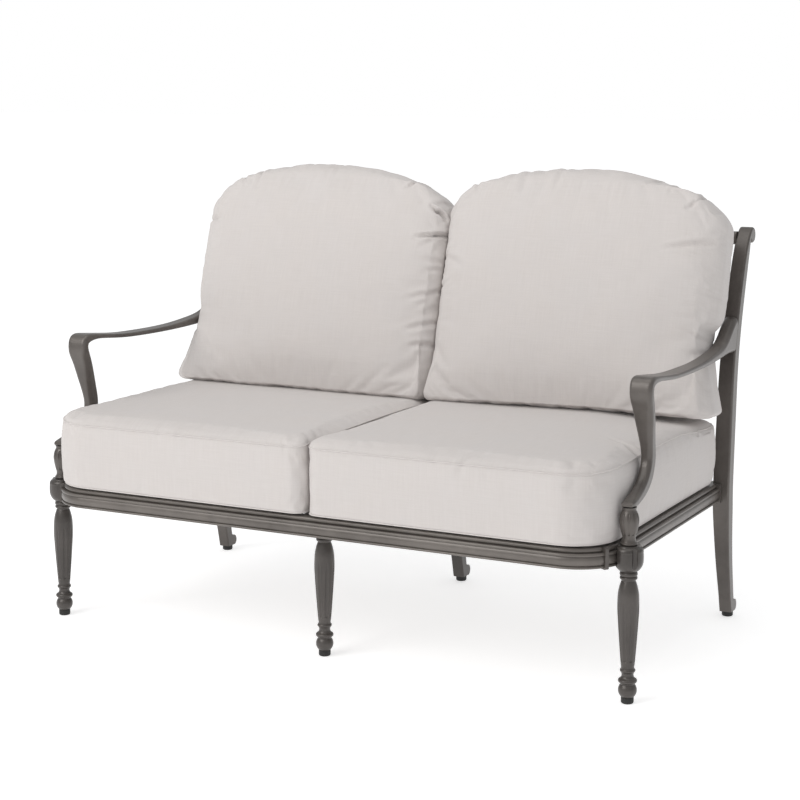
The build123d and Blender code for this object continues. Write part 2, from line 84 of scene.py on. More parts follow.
def new_mesh(name, points, faces):
    """A smooth-shaded mesh object from an array of points and an array of faces."""
    mesh = bpy.data.meshes.new(name)
    mesh.from_pydata(points.reshape(-1, 3).tolist(), [], faces.tolist())
    mesh.polygons.foreach_set("use_smooth", np.ones(len(mesh.polygons), bool))
    piece = bpy.data.objects.new(name, mesh)
    bpy.context.collection.objects.link(piece)
    return piece


bpy.context.scene.view_settings.view_transform = "Standard"
surround = bpy.data.worlds.new("white_surround")
surround.use_nodes = True
tree = surround.node_tree
tree.nodes.clear()
seen = add_node(tree, "ShaderNodeLightPath")
shown = add_node(tree, "ShaderNodeBackground", values={"Color": (1, 1, 1, 1), "Strength": 1.0})
lighting = add_node(tree, "ShaderNodeBackground",
                    values={"Color": (0.98, 0.99, 1.0, 1), "Strength": 0.56})
either = add_node(tree, "ShaderNodeMixShader", {0: seen.outputs["Is Camera Ray"],
                                                1: lighting.outputs[0], 2: shown.outputs[0]})
add_node(tree, "ShaderNodeOutputWorld", {"Surface": either.outputs[0]})
bpy.context.scene.world = surround

floor_paint, tree, shader = new_material("floor_paint")
mottle = add_node(tree, "ShaderNodeTexNoise", values={"Scale": 3.0, "Detail": 4.0})
pale = add_node(tree, "ShaderNodeMix", {"Factor": mottle.outputs["Fac"]}, data_type="RGBA")
pale.inputs["A"].default_value = (0.71, 0.71, 0.71, 1)
pale.inputs["B"].default_value = (0.74, 0.74, 0.74, 1)
tree.links.new(pale.outputs["Result"], shader.inputs["Base Color"])
shader.inputs["Roughness"].default_value = 0.8
shader.inputs["Emission Color"].default_value = (1, 1, 1, 1)
place = add_node(tree, "ShaderNodeTexCoord").outputs["Object"]
away = add_node(tree, "ShaderNodeVectorMath", {0: place}, operation="LENGTH")
glow = add_node(tree, "ShaderNodeMapRange", {"Value": away.outputs["Value"]},
                {"From Min": 1.2, "From Max": 4.0, "To Min": 0.60, "To Max": 0.66})
tree.links.new(glow.outputs["Result"], shader.inputs["Emission Strength"])
floor_reach = 40.0
floor = new_mesh("floor", np.array([[-1, -1, 0], [1, -1, 0], [1, 1, 0], [-1, 1, 0]]) * floor_reach,
                 np.array([[0, 1, 2, 3]]))
floor.data.materials.append(floor_paint)

for name, power, width, place, turn in (
        ("broad_light", 83.0, 2.6, (-1.7, -3.5, 3.0), (56, 0, -27)),
        ("top_light", 19.0, 2.2, (0.2, -0.6, 3.2), (8, 0, 0))):
    lamp_data = bpy.data.lights.new(name, "AREA")
    lamp_data.energy = power
    lamp_data.size = width
    lamp_data.color = (1.0, 0.985, 0.965)
    lamp = bpy.data.objects.new(name, lamp_data)
    lamp.location = place
    lamp.rotation_euler = tuple(radians(angle) for angle in turn)
    bpy.context.collection.objects.link(lamp)

# Frame
# Sand-cast arms, posts and turned legs, an extruded moulded rail and plain bars, welded
# together and powder coated in a warm dark pewter. The legs take a darker copy of the cast
# coat, which is painted shade. The CAD nodes keep their own shapes.
cast_dark = (0.066, 0.056, 0.050, 1)
cast_light = (0.120, 0.106, 0.096, 1)
# Darker copy of the cast colours for the legs: painted shade, not a different coat.
leg_painted_shade_dark = (0.045, 0.039, 0.035, 1)
leg_painted_shade_light = (0.081, 0.071, 0.065, 1)
drawn_dark = (0.091, 0.079, 0.070, 1)
drawn_light = (0.162, 0.144, 0.130, 1)
dust_colour = (0.30, 0.28, 0.25, 1)


def new_group(name, inputs, outputs):
    """An empty shader group with named sockets; returns its tree and its two end nodes."""
    group = bpy.data.node_groups.new(name, "ShaderNodeTree")
    for in_out, sockets in (("INPUT", inputs), ("OUTPUT", outputs)):
        for label, kind in sockets:
            group.interface.new_socket(name=label, in_out=in_out, socket_type="NodeSocket" + kind)
    return group, group.nodes.new("NodeGroupInput"), group.nodes.new("NodeGroupOutput")


def between(tree, source, low, high, out_low=0.0, out_high=1.0):
    """Spread a value from one range to another, clamped; returns the socket."""
    node = add_node(tree, "ShaderNodeMapRange", {"Value": source},
                    {"From Min": low, "From Max": high, "To Min": out_low, "To Max": out_high})
    return node.outputs["Result"]


def feed(tree, socket, source):
    """Join a socket to another one, or give it a plain number or colour."""
    if isinstance(source, bpy.types.NodeSocket):
        tree.links.new(source, socket)
    else:
        socket.default_value = source


def sums(tree, operation, first, second):
    """One math node on two sockets or numbers; returns its socket."""
    node = add_node(tree, "ShaderNodeMath", operation=operation)
    feed(tree, node.inputs[0], first)
    feed(tree, node.inputs[1], second)
    return node.outputs[0]


def blend_colours(tree, mask, first, second):
    """Mix two colours, or a colour socket and a colour, by a mask; returns the socket."""
    node = add_node(tree, "ShaderNodeMix", {"Factor": mask}, data_type="RGBA")
    feed(tree, node.inputs["A"], first)
    feed(tree, node.inputs["B"], second)
    return node.outputs["Result"]


def place_group(tree, group, links, values):
    """Set one of the shared groups into a material's tree."""
    return add_node(tree, "ShaderNodeGroup", links, values, node_tree=group)


def raise_grain(tree, shader, height, strength, distance):
    """Join a height to a shader's normal through a bump node."""
    relief = add_node(tree, "ShaderNodeBump", {"Height": height},
                      {"Strength": strength, "Distance": distance})
    tree.links.new(relief.outputs["Normal"], shader.inputs["Normal"])


cast_skin, skin_in, skin_out = new_group(
    "cast_skin", [("Place", "Vector"), ("Peel Scale", "Float"), ("Sand Scale", "Float")],
    [("Height", "Float"), ("Cloud", "Float")])
peel = add_node(cast_skin, "ShaderNodeTexNoise", {"Vector": skin_in.outputs["Place"],
                                                  "Scale": skin_in.outputs["Peel Scale"]},
                {"Detail": 2.0, "Roughness": 0.4})
sand = add_node(cast_skin, "ShaderNodeTexNoise", {"Vector": skin_in.outputs["Place"],
                                                  "Scale": skin_in.outputs["Sand Scale"]},
                {"Detail": 3.0, "Roughness": 0.6})
cloud = add_node(cast_skin, "ShaderNodeTexNoise", {"Vector": skin_in.outputs["Place"]},
                 {"Scale": 9.0, "Detail": 5.0, "Roughness": 0.62})
skin = sums(cast_skin, "ADD", sums(cast_skin, "MULTIPLY", peel.outputs["Fac"], 0.45),
            sums(cast_skin, "MULTIPLY", sand.outputs["Fac"], 0.55))
cast_skin.links.new(skin, skin_out.inputs["Height"])
cast_skin.links.new(between(cast_skin, cloud.outputs["Fac"], 0.3, 0.7), skin_out.inputs["Cloud"])

settled_dust, dust_in, dust_out = new_group(
    "settled_dust", [("Place", "Vector"), ("Amount", "Float")], [("Mask", "Float")])
facing = add_node(settled_dust, "ShaderNodeNewGeometry")
rise = add_node(settled_dust, "ShaderNodeSeparateXYZ", {0: facing.outputs["Normal"]})
drift = add_node(settled_dust, "ShaderNodeTexNoise", {"Vector": dust_in.outputs["Place"]},
                 {"Scale": 38.0, "Detail": 4.0, "Roughness": 0.7})
lying = sums(settled_dust, "MULTIPLY", between(settled_dust, rise.outputs["Z"], 0.25, 1.0),
             between(settled_dust, drift.outputs["Fac"], 0.35, 0.75))
settled_dust.links.new(sums(settled_dust, "MULTIPLY", lying, dust_in.outputs["Amount"]),
                       dust_out.inputs["Mask"])


def powder_coat(name, dark, light, peel_scale, sand_scale, bump):
    """Pewter powder coat over cast or drawn aluminium, from the grain of the metal below."""
    coat, tree, shader = new_material(name)
    place = add_node(tree, "ShaderNodeTexCoord").outputs["Object"]
    grain = place_group(tree, cast_skin, {"Place": place},
                        {"Peel Scale": peel_scale, "Sand Scale": sand_scale})
    dust = place_group(tree, settled_dust, {"Place": place}, {"Amount": 0.22})
    body = blend_colours(tree, grain.outputs["Cloud"], dark, light)
    tree.links.new(blend_colours(tree, dust.outputs["Mask"], body, dust_colour),
                   shader.inputs["Base Color"])
    tree.links.new(sums(tree, "ADD", between(tree, grain.outputs["Cloud"], 0, 1, 0.32, 0.42),
                        sums(tree, "MULTIPLY", dust.outputs["Mask"], 0.3)),
                   shader.inputs["Roughness"])
    raise_grain(tree, shader, grain.outputs["Height"], bump, 0.0006)
    shader.inputs["Metallic"].default_value = 0.35
    shader.inputs["Coat Weight"].default_value = 0.24
    shader.inputs["Coat Roughness"].default_value = 0.25
    return coat


cast_coat = powder_coat("cast_pewter", cast_dark, cast_light, 420.0, 150.0, 0.42)
drawn_coat = powder_coat("drawn_pewter", drawn_dark, drawn_light, 620.0, 70.0, 0.2)
# The legs' coat is the cast coat darkened: painted shade.
leg_painted_shade_coat = powder_coat("leg_pewter_painted_shade", leg_painted_shade_dark, leg_painted_shade_light, 420.0, 150.0, 0.42)
drawn_names = ("rail", "slat", "spindle", "stretcher")
for name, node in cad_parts.items():
    if not name.startswith(("glide", "seat_cushion", "back_cushion")):
        drawn = any(word in name for word in drawn_names)
        node.data.materials.clear()
        node.data.materials.append(
            drawn_coat if drawn else leg_painted_shade_coat if "leg" in name else cast_coat)

# Weld beads
# Where each spindle meets the rails the welder laid a rippled bead right round it. The
# beads are aluminium filler under the same powder coat.
bead_radius = 0.0019
bead_ring = 0.0078
bead_around = 48
bead_sides = 8
bead_ripples = 15
spindle_foot = 0.3005
spindle_foot_lean = 0.28
spindle_head_lean = -0.02


def rows_of(collection, field):
    """One vector field of a mesh's points or normals, as an array of rows."""
    flat = np.empty(len(collection) * 3, np.float32)
    collection.foreach_get(field, flat)
    return flat.reshape(-1, 3).astype(float)


def bead(centre, axis, start):
    """Rippled ring: a small circle carried round a larger one about an axis, whose radius
    swells and shrinks with the sine of the angle round the ring."""
    axis = np.array(axis) / np.linalg.norm(axis)
    first = np.cross(axis, (1.0, 0.0, 0.0))
    first /= np.linalg.norm(first)
    second = np.cross(axis, first)
    turn = np.linspace(0, 2 * pi, bead_around, endpoint=False)[:, None]
    tube = np.linspace(0, 2 * pi, bead_sides, endpoint=False)[None, :]
    thick = bead_radius * (1 + 0.16 * np.sin(bead_ripples * turn))
    spoke = np.cos(turn)[..., None] * first + np.sin(turn)[..., None] * second
    points = (np.array(centre) + spoke * (bead_ring + thick * np.cos(tube))[..., None]
              + axis * (thick * np.sin(tube))[..., None])
    return points.reshape(-1, 3), wrapped_faces(bead_around, bead_sides) + start


def wrapped_faces(around, across):
    """Quads of a grid that closes on itself both ways."""
    spot = np.arange(around * across).reshape(around, across)
    ahead, beside = np.roll(spot, -1, 0), np.roll(spot, -1, 1)
    return np.stack([spot, beside, np.roll(ahead, -1, 1), ahead], -1).reshape(-1, 4)


bead_points, bead_faces, bead_count = [], [], 0
for name in sorted(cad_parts):
    if name.startswith("back_spindle"):
        spots = rows_of(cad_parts[name].data.vertices, "co")
        for end_z, lean in ((spindle_foot, spindle_foot_lean),
                            (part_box("crest_rail")[0].z, spindle_head_lean)):
            end = spots[np.argsort(np.abs(spots[:, 2] - end_z))[:24]]
            middle = (end.min(0) + end.max(0)) / 2
            points, faces = bead((middle[0], middle[1], end_z), (0, lean, 1), bead_count)
            bead_points.append(points)
            bead_faces.append(faces)
            bead_count += len(points)
weld_beads = new_mesh("spindle_weld_beads", np.concatenate(bead_points), np.concatenate(bead_faces))
weld_beads.data.materials.append(cast_coat)
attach(weld_beads, "frame")

# Glides
# Moulded black rubber cups pushed on stems into the six feet, a little scuffed and dusty
# where they slide over paving.
rubber_dark = (0.010, 0.010, 0.010, 1)
rubber_light = (0.020, 0.020, 0.019, 1)
scuff_colour = (0.10, 0.095, 0.085, 1)
glide_rubber, tree, shader = new_material("black_glide_rubber")
place = add_node(tree, "ShaderNodeTexCoord").outputs["Object"]
mould = place_group(tree, cast_skin, {"Place": place}, {"Peel Scale": 900.0, "Sand Scale": 260.0})
scuff = place_group(tree, settled_dust, {"Place": place}, {"Amount": 0.5})
rubber = blend_colours(tree, mould.outputs["Cloud"], rubber_dark, rubber_light)
tree.links.new(blend_colours(tree, scuff.outputs["Mask"], rubber, scuff_colour),
               shader.inputs["Base Color"])
tree.links.new(between(tree, mould.outputs["Cloud"], 0, 1, 0.55, 0.72), shader.inputs["Roughness"])
raise_grain(tree, shader, mould.outputs["Height"], 0.3, 0.0004)
for name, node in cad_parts.items():
    if name.startswith("glide"):
        node.data.materials.clear()
        node.data.materials.append(glide_rubber)

# Cushion cloth
# Solution-dyed acrylic in a pale oatmeal linen look: a plain weave whose warp and weft
# have thick and thin places, so that short streaks run both ways.
cloth_light = (0.610, 0.574, 0.556, 1)
cloth_dark = (0.567, 0.530, 0.510, 1)
cloth_faded = (0.572, 0.553, 0.553, 1)
thread_pitch = 0.0013

slub_weave, weave_in, weave_out = new_group(
    "slub_weave", [("Cloth", "Vector"), ("Pitch", "Float")],
    [("Height", "Float"), ("Slub", "Float"), ("Cloud", "Float")])
threads = add_node(slub_weave, "ShaderNodeSeparateXYZ", {0: weave_in.outputs["Cloth"]})
waves = []
for axis in ("X", "Y"):
    turns = sums(slub_weave, "DIVIDE", sums(slub_weave, "MULTIPLY", threads.outputs[axis], 2 * pi),
                 weave_in.outputs["Pitch"])
    waves.append(sums(slub_weave, "SINE", turns, 0.0))
over_under = sums(slub_weave, "MULTIPLY", waves[0], waves[1])
streaks = []
for stretch in ((900.0, 34.0, 1.0), (40.0, 1000.0, 1.0)):
    along = add_node(slub_weave, "ShaderNodeMapping", {"Vector": weave_in.outputs["Cloth"]},
                     {"Scale": stretch})
    streak = add_node(slub_weave, "ShaderNodeTexNoise", {"Vector": along.outputs[0]},
                      {"Scale": 0.42, "Detail": 3.0, "Roughness": 0.55})
    streaks.append(between(slub_weave, streak.outputs["Fac"], 0.33, 0.70))
slub = sums(slub_weave, "MULTIPLY", sums(slub_weave, "ADD", streaks[0], streaks[1]), 0.5)
fade = add_node(slub_weave, "ShaderNodeTexNoise", {"Vector": weave_in.outputs["Cloth"]},
                {"Scale": 11.0, "Detail": 3.0})
slub_weave.links.new(sums(slub_weave, "ADD", sums(slub_weave, "MULTIPLY", over_under, 0.35), slub),
                     weave_out.inputs["Height"])
slub_weave.links.new(slub, weave_out.inputs["Slub"])
slub_weave.links.new(fade.outputs["Fac"], weave_out.inputs["Cloud"])

cushion_cloth, tree, shader = new_material("oatmeal_slub_cloth")
cut = add_node(tree, "ShaderNodeUVMap", uv_map="cloth")
weave = place_group(tree, slub_weave, {"Cloth": cut.outputs["UV"]}, {"Pitch": thread_pitch})
thread = blend_colours(tree, weave.outputs["Slub"], cloth_light, cloth_dark)
soften = between(tree, weave.outputs["Cloud"], 0.3, 0.7, 0.0, 0.22)
tree.links.new(blend_colours(tree, soften, thread, cloth_faded), shader.inputs["Base Color"])
tree.links.new(between(tree, weave.outputs["Slub"], 0, 1, 0.80, 0.94), shader.inputs["Roughness"])
raise_grain(tree, shader, weave.outputs["Height"], 0.30, 0.0005)
shader.inputs["Specular IOR Level"].default_value = 0.25
shader.inputs["Sheen Weight"].default_value = 0.22
shader.inputs["Sheen Roughness"].default_value = 0.5

# Seat cushions
# Each is a foam block in a boxed cover: a top and a bottom panel sewn to a band with a
# thin plain seam. It lies loose on the slats, and its outer front corner follows the rail.
seat_half_x = 0.31075
seat_half_y = 0.333
seat_middle_x = 0.31225
seat_middle_y = -0.090
seat_foot = 0.3005
seat_low_seam = 0.3062
seat_top_seam = 0.4375
seat_crown = 0.0205
seat_wide_corner = 0.095
seat_small_corner = 0.026
seat_start_inset = 0.0022
seat_start_crown = 0.018
seat_pressure = 4.0
seat_shrink = -0.012
seat_panel_reach = 0.005
seat_band_reach = 0.007
seat_seam_sharp = 0.55
seat_cloth_start = 0.4
seat_under_cloth = 1.3
seat_band_rows = 16
seat_rib = 0.0015


def round_corners(across, along, half_x, half_y, radii):
    """A rectangle whose corners are arcs. across and along run from -1 to 1. In a corner's
    square the point (p, q) moves to (p, q) times the larger of the two over its length."""
    x, y = across * half_x, along * half_y
    arc = radii[(along > 0).astype(int), (across > 0).astype(int)]
    p = (np.abs(x) - half_x + arc) / arc
    q = (np.abs(y) - half_y + arc) / arc
    corner = (p > 0) & (q > 0)
    pull = np.maximum(p, q) / np.maximum(np.hypot(p, q), 1e-9)
    x = np.where(corner, np.sign(x) * (half_x - arc + arc * p * pull), x)
    y = np.where(corner, np.sign(y) * (half_y - arc + arc * q * pull), y)
    return x, y


def outline_depth(x, y, half_x, half_y, radii):
    """How far a point lies outside a rectangle with rounded corners, less than zero inside,
    and the direction straight out, from the distance to the nearest corner's arc centre."""
    arc = radii[(y > 0).astype(int), (x > 0).astype(int)]
    p, q = np.abs(x) - half_x + arc, np.abs(y) - half_y + arc
    reach = np.hypot(np.maximum(p, 0), np.maximum(q, 0))
    depth = reach + np.minimum(np.maximum(p, q), 0) - arc
    far = np.maximum(reach, 1e-9)
    out_x = np.where(reach > 0, np.maximum(p, 0) / far, (p > q)) * np.sign(x)
    out_y = np.where(reach > 0, np.maximum(q, 0) / far, (p <= q)) * np.sign(y)
    return depth, out_x, out_y


def soft_least(value, limit, blend):
    """The lesser of two values with a rounded knee: minus blend times the logarithm of the
    sum of the two exponentials."""
    return -blend * np.logaddexp(-value / blend, -limit / blend)


def ease(value, low, high):
    """Smooth step from 0 at low to 1 at high."""
    share = np.clip((value - low) / (high - low), 0, 1)
    return share * share * (3 - 2 * share)


def edge_loop(grid):
    """The outer edge of a grid, once round, anticlockwise from its low corner."""
    return np.concatenate([grid[0, :-1], grid[:-1, -1], grid[-1, :0:-1], grid[:0:-1, 0]])


def run_length(points):
    """Distance gone along a closed row of points, from 0 to the whole way round."""
    steps = np.linalg.norm(np.roll(points, -1, 0) - points, axis=1)
    return np.concatenate([[0], np.cumsum(steps)])


def cushion_shell(name, face, back, band, face_cut, back_cut):
    """A closed cover: face and back are grids of the same outline and band holds the rows
    between their edges. The cloth map gives each panel its own flat measure in metres."""
    rows, columns = face.shape[:2]
    face_spot = np.arange(rows * columns).reshape(rows, columns)
    back_spot = face_spot + rows * columns
    band_spot = np.arange(band.shape[0] * band.shape[1]).reshape(band.shape[:2])
    hoops = np.vstack([edge_loop(face_spot)[None], band_spot + 2 * face_spot.size,
                       edge_loop(back_spot)[None]])
    closed = np.hstack([hoops, hoops[:, :1]])
    faces = np.concatenate([quad_corners(face_spot).reshape(-1, 4),
                            quad_corners(back_spot)[..., ::-1].reshape(-1, 4),
                            quad_corners(closed)[..., [0, 3, 2, 1]].reshape(-1, 4)])
    points = np.concatenate([face.reshape(-1, 3), back.reshape(-1, 3), band.reshape(-1, 3)])
    cover = new_mesh(name, points, faces)
    hoop_points = points[hoops]
    along = run_length(hoop_points[len(hoops) // 2])
    down = np.concatenate([[0], np.cumsum(np.linalg.norm(np.diff(hoop_points, axis=0), axis=2)
                                          .mean(1))])
    band_cut = np.stack(np.meshgrid(along, down), -1)
    map_cloth(cover, np.concatenate([quad_corners(face_cut).reshape(-1, 4, 2),
                                     quad_corners(back_cut)[:, :, ::-1].reshape(-1, 4, 2),
                                     quad_corners(band_cut)[:, :, [0, 3, 2, 1]].reshape(-1, 4, 2)]))
    return cover, hoops


def quad_corners(grid):
    """The four corners of each quad of a grid of point numbers or of cloth measures."""
    return np.stack([grid[:-1, :-1], grid[:-1, 1:], grid[1:, 1:], grid[1:, :-1]], 2)


def map_cloth(piece, cut):
    """Write the cloth's flat measures at the corners of the piece's faces."""
    piece.data.uv_layers.new(name="cloth").data.foreach_set("uv", cut.astype(np.float32).ravel())


def points_of(piece):
    """The piece's points as an array."""
    return rows_of(piece.data.vertices, "co")


def outward_of(piece):
    """The piece's point normals as an array."""
    return rows_of(piece.data.vertex_normals, "vector")


def move_points(piece, points):
    """Write an array of points back to the piece."""
    piece.data.vertices.foreach_set("co", points.astype(np.float32).ravel())
    piece.data.update()


swell_steps = 20


def inflate(piece, held, pressure, shrink, reach):
    """Blow the cover up as cloth under pressure, with the seams held, and let no point
    move further than its reach. Returns the new points."""
    start = points_of(piece)
    group = piece.vertex_groups.new(name="held")
    for weight in np.unique(held[held > 0]):
        group.add(np.flatnonzero(held == weight).tolist(), float(weight), "REPLACE")
    cloth = piece.modifiers.new("inflate", "CLOTH")
    cloth.settings.quality = 5
    cloth.settings.mass = 0.25
    cloth.settings.tension_stiffness = 18
    cloth.settings.compression_stiffness = 18
    cloth.settings.shear_stiffness = 8
    cloth.settings.bending_stiffness = 0.6
    cloth.settings.use_pressure = True
    cloth.settings.uniform_pressure_force = pressure
    cloth.settings.shrink_min = shrink
    cloth.settings.vertex_group_mass = "held"
    cloth.settings.pin_stiffness = 1.0
    cloth.settings.effector_weights.gravity = 0.0
    cloth.collision_settings.use_collision = False
    scene = bpy.context.scene
    for step in range(1, swell_steps + 1):
        scene.frame_set(step)
    swollen = points_of(piece.evaluated_get(bpy.context.evaluated_depsgraph_get()))
    piece.modifiers.remove(cloth)
    piece.vertex_groups.remove(group)
    scene.frame_set(1)
    moved = swollen - start
    length = np.linalg.norm(moved, axis=1)
    kept = reach * np.tanh(length / np.maximum(reach, 1e-9))
    return start + moved * (kept / np.maximum(length, 1e-9))[:, None]


def crumple(points, seed, height, longest):
    """Slow unevenness of stuffing: the mean of sixteen sine waves in fixed directions, with
    lengths from a third of longest up to longest."""
    draw = np.random.default_rng(seed)
    way = draw.normal(size=(16, 3))
    way *= (2 * pi / (longest * draw.uniform(0.33, 1.0, 16)) / np.linalg.norm(way, axis=1))[:, None]
    return height * np.sin(points @ way.T + draw.uniform(0, 2 * pi, 16)).mean(1) * 2.2


def tuck(points, normals, path, width, depth):
    """Height of one fold along a path on the cover. Across the path it is a valley, minus a
    Gaussian curve of the distance, with a higher ridge on one side than on the other; along
    it the fold swells and dies away as a half sine."""
    stops = np.array(path)
    steps = np.linspace(0, len(stops) - 1, 13)
    line = np.stack([np.interp(steps, np.arange(len(stops)), stops[:, k]) for k in range(3)], -1)
    line = points[np.linalg.norm(points[:, None] - line[None], axis=2).argmin(0)]
    line[1:-1] = (line[:-2] + 2 * line[1:-1] + line[2:]) / 4
    margin = 4 * width
    inside = (points > line.min(0) - margin) & (points < line.max(0) + margin)
    near = np.flatnonzero(inside.all(1))
    start, run = line[:-1], line[1:] - line[:-1]
    offset = points[near][:, None] - start[None]
    share = np.clip((offset * run).sum(2) / np.maximum((run * run).sum(1), 1e-12), 0, 1)
    offset = offset - share[..., None] * run
    apart = np.linalg.norm(offset, axis=2)
    best = apart.argmin(1)
    row = np.arange(len(near))
    gone = (best + share[row, best]) / len(run)
    across = (np.cross(normals[near], run[best]) * offset[row, best]).sum(1)
    q = np.sign(across) * apart[row, best] / width
    height = np.zeros(len(points))
    height[near] = depth * np.sin(pi * np.clip(gone, 0.03, 0.97)) ** 0.7 * (
        0.62 * np.exp(-(q - 1.45) ** 2) + 0.30 * np.exp(-(q + 1.6) ** 2) - np.exp(-q * q * 1.3))
    return height


def refine(cover, hoops, weight):
    """Subdivide a cover once with its sewn edges a little sharp, and keep the result as
    plain mesh. The first points keep their numbers, so the hoops still name them."""
    edge_points = np.empty(len(cover.data.edges) * 2, np.int32)
    cover.data.edges.foreach_get("vertices", edge_points)
    seam = np.zeros(len(cover.data.vertices), int)
    seam[hoops[0]], seam[hoops[-1]] = 1, 2
    ends = seam[edge_points.reshape(-1, 2)]
    sewn = (ends[:, 0] > 0) & (ends[:, 0] == ends[:, 1])
    cover.data.attributes.new("crease_edge", "FLOAT", "EDGE").data.foreach_set(
        "value", sewn.astype(np.float32) * weight)
    smooth = cover.modifiers.new("smooth", "SUBSURF")
    smooth.levels = smooth.render_levels = 1
    shaped = cover.evaluated_get(bpy.context.evaluated_depsgraph_get())
    fine = bpy.data.meshes.new_from_object(shaped)
    cover.modifiers.remove(smooth)
    cover.data = fine
    fine.polygons.foreach_set("use_smooth", np.ones(len(fine.polygons), bool))


def dress_cover(cover, body):
    """Give a finished cover its cloth and put it on its body."""
    cover.data.materials.append(cushion_cloth)
    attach(cover, body)
    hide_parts(body)


rib_sides = 8
rib_evening = 0.3


def seam_rib(name, path, outward, thick, body):
    """The rolled edge of a plain seam: a small circle carried along a closed row of points,
    set on the normal of the cover and on the direction square to it and to the path. Each
    point is first drawn part of the way to the middle of the two beside it."""
    path = path + rib_evening * (np.roll(path, -1, 0) - 2 * path + np.roll(path, 1, 0))
    ahead = np.roll(path, -1, 0) - np.roll(path, 1, 0)
    ahead /= np.linalg.norm(ahead, axis=1)[:, None]
    beside = np.cross(ahead, outward)
    beside /= np.linalg.norm(beside, axis=1)[:, None]
    outward = np.cross(beside, ahead)
    turn = np.linspace(0, 2 * pi, rib_sides, endpoint=False)
    rings = (path[:, None] + thick * (np.cos(turn)[None, :, None] * outward[:, None]
                                      + np.sin(turn)[None, :, None] * beside[:, None]))
    rib = new_mesh(name, rings, wrapped_faces(len(path), rib_sides))
    around = np.linspace(0, 2 * pi * thick, rib_sides + 1)
    map_cloth(rib, quad_corners(np.stack(np.meshgrid(around, run_length(path)), -1)))
    rib.data.materials.append(cushion_cloth)
    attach(rib, body)


def seat_radii(side):
    """Corner radii of a seat cushion: the wide one is at the front on the outer side."""
    radii = np.full((2, 2), seat_small_corner)
    radii[0, 1 if side > 0 else 0] = seat_wide_corner
    return radii


def edge_spaced(count):
    """Numbers from -1 to 1 that stand closer together towards both ends."""
    even = np.linspace(-1, 1, count)
    return even * (1.25 - 0.25 * even ** 2)


def crown_rise(inward):
    """Share of the crown's height at a distance in from the seam: a quarter ellipse."""
    return np.sqrt(1 - (1 - np.clip(inward / 0.030, 0, 1)) ** 2)


def seat_bulge(x, y, z, side):
    """How far the band swells past its outline on the outer side and the outer front
    corner, less beside the baluster and more at the rear, and nothing at its two seams."""
    level = np.clip((z - seat_low_seam) / (seat_top_seam - seat_low_seam), 0, 1)
    outer = ease(x * side, 0.44, 0.60)
    amount = 0.0072 - 0.0040 * np.exp(-((y + 0.335) / 0.024) ** 2) + 0.0035 * ease(y, 0.0, 0.2)
    return outer * amount * (np.sin(pi * level ** 1.15) ** 0.6 * 0.75 + 0.25 * (level > 0.01))


def seat_lid(x, y, inward, side):
    """Height of the top at a point: the crown, less the dent under the back cushion and, on
    the right seat, less the outer rear corner, which has sunk."""
    x = np.maximum(x, 0)
    dent = (0.0060 if side < 0 else 0.0045 * (1 - ease(x, 0.1, 0.5))) * ease(y, -0.01, 0.10)
    droop = 0.018 * ease(x, 0.38, 0.62) * ease(y, -0.08, 0.21)
    return seat_top_seam + 0.0004 + seat_crown * crown_rise(inward) - dent - droop


def seat_panels(side):
    """Start shape: flat seamed panels at the two seam heights, the bottom one rolling down
    to the slats, and an upright band, all a few millimetres inside the finished size."""
    radii = seat_radii(side)
    across, along = np.meshgrid(edge_spaced(82), edge_spaced(88))
    half_x, half_y = seat_half_x - seat_start_inset, seat_half_y - seat_start_inset
    x, y = round_corners(across, along, half_x, half_y, radii)
    x = x - 0.002 * np.sign(x) * np.abs(across) ** 6 * (1 - along ** 2)
    y = y - 0.002 * np.sign(y) * np.abs(along) ** 6 * (1 - across ** 2) * (along > 0)
    inward = -outline_depth(x, y, half_x, half_y, radii)[0]
    top = np.stack([x + side * seat_middle_x, y + seat_middle_y,
                    seat_top_seam + seat_start_crown * crown_rise(inward)], -1)
    roll = np.minimum(np.abs(across) ** 26 + np.abs(along) ** 26, 1)
    foot = seat_foot + (seat_low_seam - seat_foot) * roll
    bottom = np.stack([x + side * seat_middle_x, y + seat_middle_y, foot], -1)
    rim = edge_loop(top)
    share = np.linspace(0, 1, seat_band_rows + 2)[1:-1]
    band = np.repeat(rim[None], len(share), 0)
    band[..., 2] = (seat_top_seam + (seat_low_seam - seat_top_seam) * share)[:, None]
    return radii, top, bottom, band, across, along


